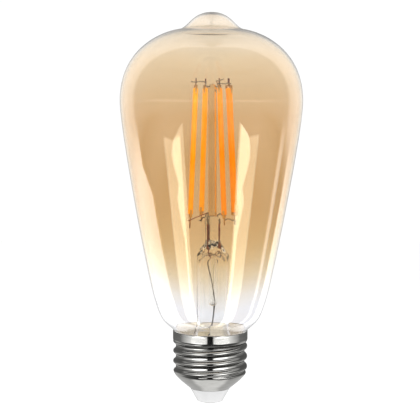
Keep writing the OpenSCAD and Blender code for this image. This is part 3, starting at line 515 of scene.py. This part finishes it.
# ---------------------------------------------------------------------------------------------
# Basing cement: a baked ring of cream resin and chalk between the throat of the glass and the
# collar, slightly lumpy where it was squeezed up.
throat = curve([NECK_R, RIM_Z - 3.4], [NECK_R, RIM_Z - 2.2], [MOUTH_R - 1, RIM_Z - 1.1],
               [MOUTH_R, RIM_Z - 0.1], 12)[2:11]
COLLAR_BORE = 12.87
profile = chain(throat + [0.03, 0], [[MOUTH_R - 0.08, RIM_Z - 0.25], [COLLAR_BORE, RIM_Z - 0.23],
                                     [COLLAR_BORE, 24.6], [COLLAR_BORE, throat[0, 1]]])
cement_ring = lathe(profile, 120)
a = np.arctan2(cement_ring[..., 1], cement_ring[..., 0])
cement_ring[..., 2] -= 0.05 * (1 + np.sin(9 * a) * np.cos(4 * a + 1)) * (cement_ring[..., 2] > 25.6)
cement = build("cement_ring", [cement_ring], ["basing_cement"], ring=True)
cement.data.materials.append(grained(
    "chalky_cement", (0.80, 0.84, 0.82), (0.88, 0.94, 0.94), scale=700.0, roughness=0.8, spread=0.2,
    bump=0.5)[0])

# ---------------------------------------------------------------------------------------------
# Wires on the stem: nickel leads and top wires, copper-clad seal wires where they pass through
# the pinch, darkened by the sealing flame. Tabs are plain steel, crimped and spot-welded.
def dress(material, *names):
    """Puts a finish on CAD nodes."""
    for name in names:
        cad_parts[name].data.materials.clear()
        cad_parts[name].data.materials.append(material)


wire_finish = grained("drawn_nickel_wire", (0.30, 0.28, 0.25), (0.50, 0.47, 0.42), scale=900.0,
                      roughness=0.32, spread=0.2, bump=0.1, stretch=(1, 1, 0.2), Metallic=1.0)[0]
dress(wire_finish, "left_inner_lead", "right_inner_lead", "left_top_wire", "right_top_wire", "top_link_wire")
seal_finish = grained("copper_clad_seal_wire", (0.20, 0.05, 0.02), (0.42, 0.13, 0.06), scale=700.0,
                      roughness=0.45, spread=0.3, bump=0.15, stretch=(1, 1, 0.3), Metallic=0.6)[0]
dress(seal_finish, "left_seal_wire", "right_seal_wire", "low_wire_1")
dark_finish = grained("oxidised_lead_wire", (0.035, 0.03, 0.025), (0.10, 0.085, 0.07), scale=800.0,
                      roughness=0.45, spread=0.3, bump=0.15, stretch=(1, 1, 0.3), Metallic=0.7)[0]
dress(dark_finish, "left_outer_lead", "right_outer_lead", "low_wire_2")
tab_finish, tree, shader, grain = grained("crimped_steel_tab", (0.10, 0.03, 0.02), (0.20, 0.08, 0.05),
                                          scale=900.0, roughness=0.4, spread=0.3, bump=0.2, Metallic=0.4)
# the legs that grip the bead are wetted by the same silicone, and take its pale yellow
low_end, top_end, soft = (FIL_LOW_Z - 0.7) * MM, (FIL_LOW_Z + FIL_L + 0.5) * MM, 0.3 * MM
wetted = ramp(tree, coordinate(tree, "Z"), [(low_end - soft, (0, 0, 0)), (low_end, (1, 1, 1)),
                                            (top_end, (1, 1, 1)), (top_end + soft, (0, 0, 0))])
pale = blend(tree, wetted, grain.outputs["Colour"], (0.95, 0.68, 0.22, 1))
tree.links.new(pale, shader.inputs["Base Color"])
dress(tab_finish, *[f"filament_{i}_{end}_tab" for i in range(1, 5) for end in ("top", "low")])
strip_finish = grained("ceramic_strip", (0.74, 0.73, 0.68), (0.86, 0.85, 0.80), scale=1500.0,
                       roughness=0.6, spread=0.2, bump=0.1)[0]
chip_finish = grained("chip_blue_film", (0.12, 0.16, 0.30), (0.30, 0.36, 0.50), scale=2500.0,
                      roughness=0.25, spread=0.2, bump=0.05)[0]
dress(strip_finish, *[f"filament_{i}_strip" for i in range(1, 5)])
dress(chip_finish, *[f"filament_{i}_chips" for i in range(1, 5)])

# ---------------------------------------------------------------------------------------------
# Boards: glass-cloth laminate under pale solder mask, with the copper tracks showing through as
# slightly darker lines. The driver board is cream, the wireless board nearly white.
def board_finish(name, mask, track, pitch):
    """Solder mask over tracks. A track runs where the brick pattern's joints fall, in the board's
    own plane, and stands up by the height of the copper."""
    material, tree, shader, grain = grained(name, mask, tuple(1.15 * c for c in mask), scale=1200.0,
                                            roughness=0.34, spread=0.15, bump=0.05)
    flat = node(tree, "CombineXYZ", {"X": coordinate(tree, "X"), "Y": coordinate(tree, "Z")})
    tracks = node(tree, "TexBrick", {"Vector": flat.outputs["Vector"], "Scale": 1 / (pitch * MM),
                                     "Mortar Size": 0.09, "Mortar Smooth": 0.1, "Brick Width": 2.3,
                                     "Row Height": 0.9})
    line = tracks.outputs["Fac"]
    tree.links.new(blend(tree, line, grain.outputs["Colour"], (*track, 1)), shader.inputs["Base Color"])
    raise_bumps(tree, shader, line, 0.5, 0.1 * MM)
    return material


dress(board_finish("cream_board", (0.68, 0.62, 0.44), (0.56, 0.50, 0.34), 1.5), "driver_board")
dress(board_finish("white_board", (0.74, 0.71, 0.60), (0.62, 0.59, 0.48), 0.9), "wireless_board")
dress(grained("tinned_can", (0.62, 0.62, 0.60), (0.74, 0.74, 0.72), scale=600.0, roughness=0.25, spread=0.15,
              bump=0.08, Metallic=1.0)[0], "wireless_shield")
dress(grained("gold_flash", (0.72, 0.50, 0.18), (0.86, 0.64, 0.28), scale=900.0, roughness=0.25, spread=0.15,
              bump=0.05, Metallic=1.0)[0], "board_pins")
dress(grained("black_moulding", (0.012, 0.012, 0.014), (0.03, 0.03, 0.033), scale=1500.0, roughness=0.55,
              spread=0.25, bump=0.25)[0], "bridge_rectifier", "driver_chip")
dress(grained("pressed_ferrite", (0.03, 0.03, 0.032), (0.07, 0.068, 0.066), scale=1100.0, roughness=0.62,
              spread=0.3, bump=0.35)[0], "coil_core")
dress(grained("tinned_lead", (0.55, 0.55, 0.53), (0.72, 0.72, 0.70), scale=900.0, roughness=0.3, spread=0.2,
              bump=0.1, Metallic=1.0)[0], "capacitor_leads", "resistor_lead", "coil_leads")
dress(grained("dipped_film_case", (0.50, 0.13, 0.03), (0.62, 0.19, 0.05), scale=500.0, roughness=0.28,
              spread=0.15, bump=0.2)[0], "film_capacitor")
dress(grained("fired_ceramic", (0.52, 0.46, 0.36), (0.68, 0.63, 0.54), scale=1500.0, roughness=0.5,
              spread=0.2, bump=0.15)[0], "chip_parts")
dress(grained("red_sleeve", (0.28, 0.02, 0.015), (0.42, 0.04, 0.03), scale=900.0, roughness=0.6, spread=0.2,
              bump=0.3, stretch=(1, 1, 3))[0], "resistor_sleeve")
dress(grained("live_insulation", (0.33, 0.02, 0.015), (0.45, 0.05, 0.03), scale=900.0, roughness=0.42,
              spread=0.15, bump=0.1)[0], "live_wire")
dress(grained("neutral_insulation", (0.55, 0.55, 0.53), (0.70, 0.70, 0.68), scale=900.0, roughness=0.42,
              spread=0.15, bump=0.1)[0], "neutral_wire")

# ---------------------------------------------------------------------------------------------
# Coil: enamelled copper wire in close turns on the ferrite bobbin, worked out as one long ridge
# that climbs a wire's width on each turn.
COIL_AT, COIL_R, COIL_HALF, TURN_PITCH = np.array([4.1, 3.7, 14.2]), 2.65, 2.68, 0.3
AROUND_COIL, GROOVE, BOBBIN_R = 36, 0.075, 1.42
z = np.linspace(-COIL_HALF, COIL_HALF, 150)[:, None]
a = np.arange(AROUND_COIL) / AROUND_COIL * 2 * math.pi
r = COIL_R - GROOVE * (1 - np.abs(np.cos(math.pi * z / TURN_PITCH - a / 2)))
grid = np.stack([r * np.cos(a), r * np.sin(a), z + 0 * a], axis=-1) + COIL_AT
bore = lathe(np.array([[BOBBIN_R, COIL_HALF], [BOBBIN_R, -COIL_HALF]]), AROUND_COIL) + COIL_AT
winding = build("coil_turns", [np.vstack([grid, bore])], ["coil_winding"], ring=True,
                sharp=80)
winding.data.materials.append(grained(
    "enamelled_copper", (0.42, 0.14, 0.05), (0.60, 0.24, 0.09), scale=900.0, roughness=0.3, spread=0.15,
    bump=0.08, stretch=(1, 1, 4), Metallic=0.9)[0])

# ---------------------------------------------------------------------------------------------
# Smoothing capacitor: an aluminium can in a plain dark sleeve, crimped in over its rubber
# bung at the top, with a shallow dish pressed into its closed end.
CAN_AT, CAN_R, CAN_L = np.array([-3.55, -3.9, 8.2]), 3.15, 9.6
profile = chain(
    [[0, 0.06], [1.9, 0.06], [2.0, 0.0], [CAN_R - 0.35, 0.0]],
    curve([CAN_R - 0.35, 0.0], [CAN_R - 0.1, 0.0], [CAN_R, 0.1], [CAN_R, 0.35], 8),
    curve([CAN_R, 0.35], [CAN_R, 3], [CAN_R, 6], [CAN_R, CAN_L - 1.75], 6),
    curve([CAN_R, CAN_L - 1.75], [CAN_R - 0.02, CAN_L - 1.5], [CAN_R - 0.27, CAN_L - 1.5],
          [CAN_R - 0.27, CAN_L - 1.3], 8),
    curve([CAN_R - 0.27, CAN_L - 1.3], [CAN_R - 0.27, CAN_L - 1.1], [CAN_R - 0.02, CAN_L - 1.1],
          [CAN_R, CAN_L - 0.85], 8),
    curve([CAN_R, CAN_L - 0.85], [CAN_R, CAN_L - 0.2], [CAN_R - 0.1, CAN_L], [CAN_R - 0.45, CAN_L], 8),
    [[CAN_R - 0.5, CAN_L - 0.12], [0, CAN_L - 0.12]])
can = build("capacitor_can", [lathe(profile, 56) + CAN_AT], ["smoothing_capacitor"])
sleeve, tree, shader, grain = grained(
    "shrunk_sleeve", (0.012, 0.014, 0.03), (0.022, 0.025, 0.05), scale=350.0, roughness=0.26, spread=0.12,
    bump=0.08)
# a grey stripe down one side marks the negative lead
stripe = node(tree, "MapRange", {"Value": coordinate(tree, "X"), "From Min": -6.0 * MM,
                                 "From Max": -6.1 * MM})
striped = blend(tree, stripe.outputs["Result"], grain.outputs["Colour"], (0.45, 0.46, 0.48, 1))
tree.links.new(striped, shader.inputs["Base Color"])
can.data.materials.append(sleeve)

# ---------------------------------------------------------------------------------------------
# Fuse resistor: a film-coated ceramic rod between two pressed caps, dipped in matt paint. Painted
# rings show its value, and a heat-proof sleeve is slipped over it.
RESISTOR_LOW, RESISTOR_TOP = 8.2 * MM, 14.2 * MM
PAINT, BROWN, BLACK, GOLD = (0.21, 0.34, 0.40), (0.30, 0.12, 0.03), (0.02, 0.02, 0.02), (0.55, 0.40, 0.12)
resistor, tree, shader, _ = grained("resistor_paint", (0.18, 0.30, 0.36), (0.24, 0.38, 0.44), scale=900.0,
                                    roughness=0.5, spread=0.2, bump=0.15)
along = node(tree, "MapRange", {"Value": coordinate(tree, "Z"), "From Min": RESISTOR_LOW,
                                "From Max": RESISTOR_TOP}).outputs["Result"]
rings = ramp(tree, along, [
    (0.0, PAINT), (0.22, BROWN), (0.30, PAINT), (0.40, BLACK), (0.48, PAINT), (0.58, BROWN), (0.66, PAINT),
    (0.78, GOLD), (0.86, PAINT)], "CONSTANT")
tree.links.new(rings, shader.inputs["Base Color"])
dress(resistor, "fuse_resistor")

# ---------------------------------------------------------------------------------------------
# Studio: a white cove all round, seen straight or through glass. Reflections see soft boxes in it
# with dark gaps between them. Two clear domes add lights to reflections, one for the glass pieces
# alone and one for the nickel shell. Angles are in degrees.
TOP_LEVEL = 8.0


def rise(tree, value, low, high):
    """0 below low, 1 above high, and the smooth step 3t^2 - 2t^3 between them."""
    return node(tree, "MapRange", {"Value": value, "From Min": low, "From Max": high},
                interpolation_type="SMOOTHSTEP").outputs["Result"]


def levels(tree, value, low, high, stops):
    """Straight lines through the stops (place, level), read at value between low and high."""
    place = node(tree, "MapRange", {"Value": value, "From Min": low, "From Max": high}).outputs["Result"]
    tones = ramp(tree, place, [((at - low) / (high - low), (level / TOP_LEVEL,) * 3) for at, level in stops])
    return math_of(tree, tones, TOP_LEVEL, "MULTIPLY")


def between(tree, a, b, share):
    """a where share is 0, b where it is 1."""
    return node(tree, "Mix", {"Factor": share, "A": a, "B": b}).outputs["Result"]


def directions(tree, toward):
    """How far round from the front (0 to 180) and how high (-90 to 90) a direction points, and 1 on
    the left side."""
    part = node(tree, "SeparateXYZ", {"Vector": toward}).outputs
    angle = math_of(tree, part["X"], math_of(tree, part["Y"], -1.0, "MULTIPLY"), "ARCTAN2")
    angle = math_of(tree, angle, operation="ABSOLUTE")
    rising = math_of(tree, part["Z"], operation="ARCSINE")
    return (math_of(tree, angle, 180 / math.pi, "MULTIPLY"), math_of(tree, rising, 180 / math.pi, "MULTIPLY"),
            math_of(tree, part["X"], 0.0, "LESS_THAN"))


def ray_depth(tree, kind, count):
    """1 for a ray that has had more than count bounces of this kind, and 0 for the rest."""
    return math_of(tree, node(tree, "LightPath").outputs[kind + " Depth"], count + 0.5, "GREATER_THAN")


def soft_boxes(tree, azimuth, tilt):
    """Light of the cove in reflections: a belt about the horizon that dims towards the back with a
    narrow gap in front, dark below it, a bright ground, a dark line and a bright wall above."""
    belt = levels(tree, azimuth, 0, 180, [(0, 0.01), (8, 0.01), (11, 0.95), (30, 1.0), (60, 1.2), (75, 0.85),
                                          (104, 0.22), (180, 0.12)])
    under = levels(tree, azimuth, 0, 180, [(0, 0.04), (60, 0.06), (100, 0.12), (125, 0.5), (180, 0.6)])
    wall = levels(tree, azimuth, 0, 180, [(0, 0.5), (20, 0.9), (60, 1.0), (90, 0.45), (180, 0.35)])
    light = between(tree, under, belt, rise(tree, tilt, -21, -15))
    lift = levels(tree, azimuth, 0, 180, [(0, 0), (80, 0), (100, 14), (180, 14)])
    light = between(tree, 0.95, light, rise(tree, math_of(tree, tilt, lift, "SUBTRACT"), -80, -68))
    light = between(tree, light, 0.12, rise(tree, tilt, -1, 3))
    light = between(tree, light, wall, rise(tree, tilt, 34, 44))
    light = between(tree, light, 0.8, rise(tree, tilt, 50, 65))
    return math_of(tree, light, between(tree, 1.0, 0.3, ray_depth(tree, "Glossy", 1)), "MULTIPLY")


world = bpy.data.worlds.new("studio")
bpy.context.scene.world = world
world.use_nodes = True
world.cycles.sampling_method = "NONE"
tree = world.node_tree
azimuth, tilt, _ = directions(tree, node(tree, "TexCoord").outputs["Generated"])
strength = between(tree, 1.04, soft_boxes(tree, azimuth, tilt), ray_depth(tree, "Glossy", 0))
cove = node(tree, "Background", {"Color": (1, 1, 1, 1), "Strength": strength})
tree.links.new(cove.outputs["Background"], tree.nodes["World Output"].inputs["Surface"])


def clear_dome(name, radius, lit_pieces):
    """A clear ball round everything that adds light to the reflections of the lit pieces alone.
    Returns its node tree and the directions its light is worked out from."""
    mesh = bpy.data.meshes.new(name)
    ball = bmesh.new()
    bmesh.ops.create_icosphere(ball, subdivisions=5, radius=radius)
    ball.to_mesh(mesh)
    ball.free()
    dome = bpy.data.objects.new(name, mesh)
    bpy.context.scene.collection.objects.link(dome)
    dome.visible_camera = False
    dome.visible_shadow = False
    glow = bpy.data.materials.new(name)
    glow.use_nodes = True
    glow.cycles.emission_sampling = "NONE"
    glow.node_tree.nodes.remove(glow.node_tree.nodes["Principled BSDF"])
    mesh.materials.append(glow)
    lit = bpy.data.collections.new(name)
    for piece in lit_pieces:
        lit.objects.link(piece)
    dome.light_linking.receiver_collection = lit
    place = node(glow.node_tree, "TexCoord").outputs["Object"]
    toward = node(glow.node_tree, "VectorMath", {0: place}, operation="NORMALIZE").outputs["Vector"]
    return glow.node_tree, *directions(glow.node_tree, toward)


def add_light(tree, colour, strength):
    """Joins a see-through shader and the added light to the material's output."""
    lit = node(tree, "Emission", {"Color": colour, "Strength": strength}).outputs["Emission"]
    both = node(tree, "AddShader", {0: node(tree, "BsdfTransparent").outputs["BSDF"], 1: lit})
    tree.links.new(both.outputs["Shader"], tree.nodes["Material Output"].inputs["Surface"])


tree, azimuth, tilt, left = clear_dome("dome_over_glass", 3.0, (envelope, stem, exhaust, rod))
ring_light = levels(tree, azimuth, 0, 180, [(0, 0.45), (60, 0.3), (70, 0.12), (180, 0.12)])
# a bright wall behind the camera's two sides draws the pale band along each edge, wider on the left
start = levels(tree, tilt, -60, 0, [(-60, 0.5), (-30, 0.7), (-25, 0.9), (-20, 1.4), (-16, 1.7), (-12, 3.0),
                                    (0, 3.0)])
start = math_of(tree, between(tree, 4.8, start, left), 10.0, "MULTIPLY")
inward = math_of(tree, azimuth, math_of(tree, start, 80.0), "SUBTRACT")
band = levels(tree, azimuth, 0, 180, [(0, 4.2), (85, 4.2), (100, 4.0), (112, 3.7), (125, 3.0), (140, 1.9),
                                      (155, 1.2), (168, 0.7), (180, 0.4)])
ring_light = between(tree, ring_light, band, rise(tree, inward, -1, 1))
# on the right a thin streak runs down beside it
streak = math_of(tree, rise(tree, inward, -26, -24), rise(tree, inward, -15, -18), "MULTIPLY")
ring_light = between(tree, ring_light, 2.4, math_of(tree, streak, left, "SUBTRACT"))
# above the widest ring the band turns soft
over = levels(tree, azimuth, 0, 180, [(0, 1.1), (110, 1.1), (116, 2.0), (132, 1.8), (146, 1.3), (160, 1.0),
                                      (174, 0.5), (180, 0.4)])
ring_light = between(tree, ring_light, over, rise(tree, tilt, -12.5, -6))
# a warm curtain hangs beside the front on each side, with a dip in its top edge
dip = levels(tree, azimuth, 0, 180, [(0, 0.3), (36, 0.3), (50, 2.9), (64, 1.5), (180, 1.5)])
below_top = rise(tree, math_of(tree, math_of(tree, tilt, dip), 12.0), 0.25, -0.25)
curtain = math_of(tree, rise(tree, azimuth, 36, 37.5), rise(tree, azimuth, 65.5, 64), "MULTIPLY")
curtain = math_of(tree, curtain, below_top, "MULTIPLY")
ring_light = between(tree, ring_light, 4.0, curtain)
# in it shines a window, and the outer edge of its light is wavy, like cloth
edge = levels(tree, tilt, -60, 0, [(-60, 4.4), (-34, 4.4), (-25, 4.45), (-22.5, 5.0), (-21.3, 5.2),
                                   (-20.3, 4.75), (-18, 5.3), (-16.5, 5.5), (-14.8, 5.1), (-12.9, 3.8),
                                   (0, 3.8)])
edge = math_of(tree, edge, 10, "MULTIPLY")
shift = math_of(tree, left, 2.2, "MULTIPLY")
window = math_of(tree, rise(tree, math_of(tree, azimuth, shift, "SUBTRACT"), 38.5, 39.5),
                 rise(tree, math_of(tree, edge, azimuth, "SUBTRACT"), -0.5, 0.5), "MULTIPLY")
late = between(tree, 1.0, rise(tree, tilt, -14.2, -15.2), left)
window = math_of(tree, window, late, "MULTIPLY")
ring_light = between(tree, ring_light, 9.0, window)
extra = math_of(tree, ring_light, soft_boxes(tree, azimuth, tilt), "SUBTRACT")
extra = math_of(tree, extra, 0.0, "MAXIMUM")
# reflections from deeper in, past the first wall, see an even glow instead
inner_light = levels(tree, azimuth, 0, 180, [(0, 1.0), (60, 1.15), (180, 1.05)])
inner_light = math_of(tree, inner_light, soft_boxes(tree, azimuth, tilt), "SUBTRACT")
inner_light = math_of(tree, inner_light, 0.0, "MAXIMUM")
extra = between(tree, extra, inner_light, ray_depth(tree, "Transmission", 2))
extra = math_of(tree, extra, ray_depth(tree, "Glossy", 0), "MULTIPLY")
shine = math_of(tree, curtain, window)
warmth = ramp(tree, math_of(tree, shine, 0.5, "MULTIPLY"), [(0, (1, 1, 1)), (0.5, (1, 0.95, 0.76)),
                                                            (1, (1, 0.99, 0.76))])
add_light(tree, warmth, extra)

# a bright leaf-shaped light just below the belt on each side draws the highlights of the thread
tree, azimuth, tilt, _ = clear_dome("dome_over_metal", 3.2, (cup,))
leaf = levels(tree, azimuth, 0, 180, [(0, 0), (9, 0), (16, 1.0), (24, 2.3), (34, 3.2), (46, 2.4), (56, 1.0),
                                      (64, 0), (180, 0)])
away = math_of(tree, math_of(tree, tilt, 11.0), operation="ABSOLUTE")
inside_leaf = rise(tree, math_of(tree, math_of(tree, leaf, 4.4, "MULTIPLY"), away, "SUBTRACT"), -0.5, 2.0)
# a slot in it keeps the plain collar grey
collar_gap = math_of(tree, rise(tree, tilt, -10.8, -10.6), rise(tree, tilt, -8.8, -9.0), "MULTIPLY")
inside_leaf = between(tree, inside_leaf, 0.0, collar_gap)
once = math_of(tree, ray_depth(tree, "Glossy", 0), ray_depth(tree, "Glossy", 1), "SUBTRACT")
leaf_light = math_of(tree, math_of(tree, inside_leaf, 2.0, "MULTIPLY"), once, "MULTIPLY")
add_light(tree, (1, 1, 1, 1), leaf_light)


def stand(across, upward, backward, spot):
    """4 x 4 matrix with three directions and a place as its columns."""
    grid = np.eye(4)
    grid[:3, :4] = np.stack([across, upward, backward, spot], axis=1)
    return Matrix(grid.tolist())


for side in (-1, 1):
    box = bpy.data.lights.new(f"soft_box_{side + 2}", "AREA")
    box.shape, box.size, box.size_y, box.energy = "RECTANGLE", 0.7, 0.7, 20.0
    placed = bpy.data.objects.new(box.name, box)
    bpy.context.scene.collection.objects.link(placed)
    spot = np.array([0.75 * side, -0.75, 0.95])
    facing = unit(spot - np.array([0, 0, 0.06]))
    sideways = unit(np.cross([0, 0, 1], facing))
    placed.matrix_world = stand(sideways, np.cross(facing, sideways), facing, spot)
    placed.visible_glossy = False
    placed.visible_transmission = False

floor_mesh = bpy.data.meshes.new("studio_floor")
FLOOR_HALF, FLOOR_Z = 6.0, -0.6
corners = [(x * FLOOR_HALF, y * FLOOR_HALF, FLOOR_Z) for x, y in ((-1, -1), (1, -1), (1, 1), (-1, 1))]
floor_mesh.from_pydata(corners, [], [(0, 1, 2, 3)])
floor = bpy.data.objects.new("studio_floor", floor_mesh)
bpy.context.scene.collection.objects.link(floor)
paper, tree, shader = new_finish("floor_paper", Base_Color=(0.99, 0.99, 0.985, 1), Specular_IOR_Level=0.2)
fibre = node(tree, "TexNoise", {"Vector": object_place(tree), "Scale": 900.0})
shade = node(tree, "MapRange", {"Value": fibre.outputs["Fac"], "To Min": 0.85, "To Max": 0.95})
tree.links.new(shade.outputs["Result"], shader.inputs["Roughness"])
floor_mesh.materials.append(paper)
floor.visible_glossy = False
floor.visible_transmission = False
floor.visible_diffuse = False

scene = bpy.context.scene
scene.view_settings.view_transform = "Standard"
scene.cycles.max_bounces = 28
scene.cycles.transmission_bounces = 28
scene.cycles.transparent_max_bounces = 24
lens = bpy.data.cameras.new("camera")
lens.lens, lens.sensor_width, lens.clip_end = 117.5, 36.0, 20.0
camera = bpy.data.objects.new("camera", lens)
scene.collection.objects.link(camera)
EYE, AIM, ROLL = np.array([-0.0003, -0.480, 0.110]), np.array([-0.0003, 0.0, 0.0685]), math.radians(0.27)
forward = unit(AIM - EYE)
across = unit(np.cross(forward, [0, 0, 1]))
upward = np.cross(across, forward)
turned = math.cos(ROLL) * across + math.sin(ROLL) * upward
risen = math.cos(ROLL) * upward - math.sin(ROLL) * across
camera.matrix_world = stand(turned, risen, -forward, EYE)
scene.camera = camera
